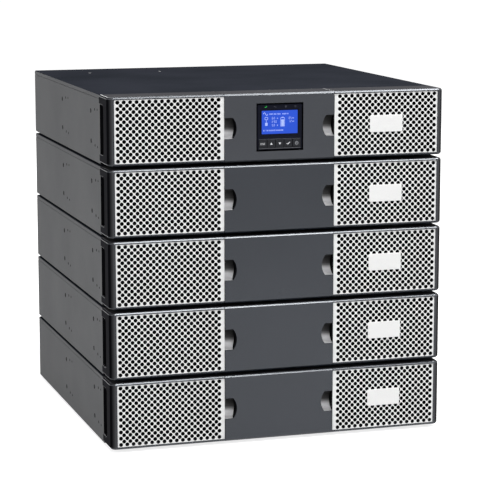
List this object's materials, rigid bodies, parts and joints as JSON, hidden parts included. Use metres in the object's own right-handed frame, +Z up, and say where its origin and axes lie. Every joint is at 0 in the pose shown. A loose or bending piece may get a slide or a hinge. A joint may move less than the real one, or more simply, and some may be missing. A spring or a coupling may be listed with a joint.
{
  "type": "rack-mount uninterruptible power supply",
  "caption": "Rack-height uninterruptible power supply standing on matching battery units, with perforated grilles, finger scoops, and a tilting screen with keys.",
  "frame": {"origin": "middle of the stack's footprint, on the floor under the lowest feet", "axes": "+Z up, the front with the grilles and the screen faces -Y, +X to the right seen from the front"},
  "size_m": [0.44, 0.45, 0.4445],
  "materials": {
    "case_paint": "satin",
    "bezel_plastic": "satin",
    "grille_plastic": "satin",
    "display_plastic": "gloss",
    "screen_glass": "gloss",
    "keys": "satin",
    "rubber": "matte",
    "guard_steel": "satin",
    "panel_paint": "satin",
    "socket_plastic": "satin"
  },
  "bodies": {
    "stack": {"battery_1_case": "case_paint", "battery_1_centre_cover": "bezel_plastic", "battery_1_end_frames": "bezel_plastic", "battery_1_feet": "rubber", "battery_1_grilles": "grille_plastic", "battery_1_lid": "case_paint", "battery_1_rear_plugs": "socket_plastic", "battery_2_case": "case_paint", "battery_2_centre_cover": "bezel_plastic", "battery_2_end_frames": "bezel_plastic", "battery_2_feet": "rubber", "battery_2_grilles": "grille_plastic", "battery_2_lid": "case_paint", "battery_2_rear_plugs": "socket_plastic", "battery_3_case": "case_paint", "battery_3_centre_cover": "bezel_plastic", "battery_3_end_frames": "bezel_plastic", "battery_3_feet": "rubber", "battery_3_grilles": "grille_plastic", "battery_3_lid": "case_paint", "battery_3_rear_plugs": "socket_plastic", "battery_4_case": "case_paint", "battery_4_centre_cover": "bezel_plastic", "battery_4_end_frames": "bezel_plastic", "battery_4_feet": "rubber", "battery_4_grilles": "grille_plastic", "battery_4_lid": "case_paint", "battery_4_rear_plugs": "socket_plastic", "ups_battery_plug": "socket_plastic", "ups_case": "case_paint", "ups_centre_cover": "bezel_plastic", "ups_end_frames": "bezel_plastic", "ups_fan_guard": "guard_steel", "ups_feet": "rubber", "ups_grilles": "grille_plastic", "ups_inlet": "socket_plastic", "ups_lid": "case_paint", "ups_outlets": "socket_plastic", "ups_signal_panel": "panel_paint"},
    "display": {"display_housing": "display_plastic", "display_screen": "screen_glass"},
    "key_escape_body": {"key_escape": "keys"},
    "key_up_body": {"key_up": "keys"},
    "key_down_body": {"key_down": "keys"},
    "key_enter_body": {"key_enter": "keys"},
    "key_power_body": {"key_power": "keys"}
  },
  "joints": [
    {"name": "display_tilt", "type": "hinge", "parent": "stack", "child": "display", "pos_m": [0, -0.2215, 0.42795], "axis": [-1, 0, 0], "range_deg": [0, 45]},
    {"name": "key_escape_press", "type": "slide", "parent": "display", "child": "key_escape_body", "axis": [0, 1, 0], "range_m": [0, 0.0008], "stiffness_N_per_m": 300},
    {"name": "key_up_press", "type": "slide", "parent": "display", "child": "key_up_body", "axis": [0, 1, 0], "range_m": [0, 0.0008], "stiffness_N_per_m": 300},
    {"name": "key_down_press", "type": "slide", "parent": "display", "child": "key_down_body", "axis": [0, 1, 0], "range_m": [0, 0.0008], "stiffness_N_per_m": 300},
    {"name": "key_enter_press", "type": "slide", "parent": "display", "child": "key_enter_body", "axis": [0, 1, 0], "range_m": [0, 0.0008], "stiffness_N_per_m": 300},
    {"name": "key_power_press", "type": "slide", "parent": "display", "child": "key_power_body", "axis": [0, 1, 0], "range_m": [0, 0.0008], "stiffness_N_per_m": 300}
  ]
}
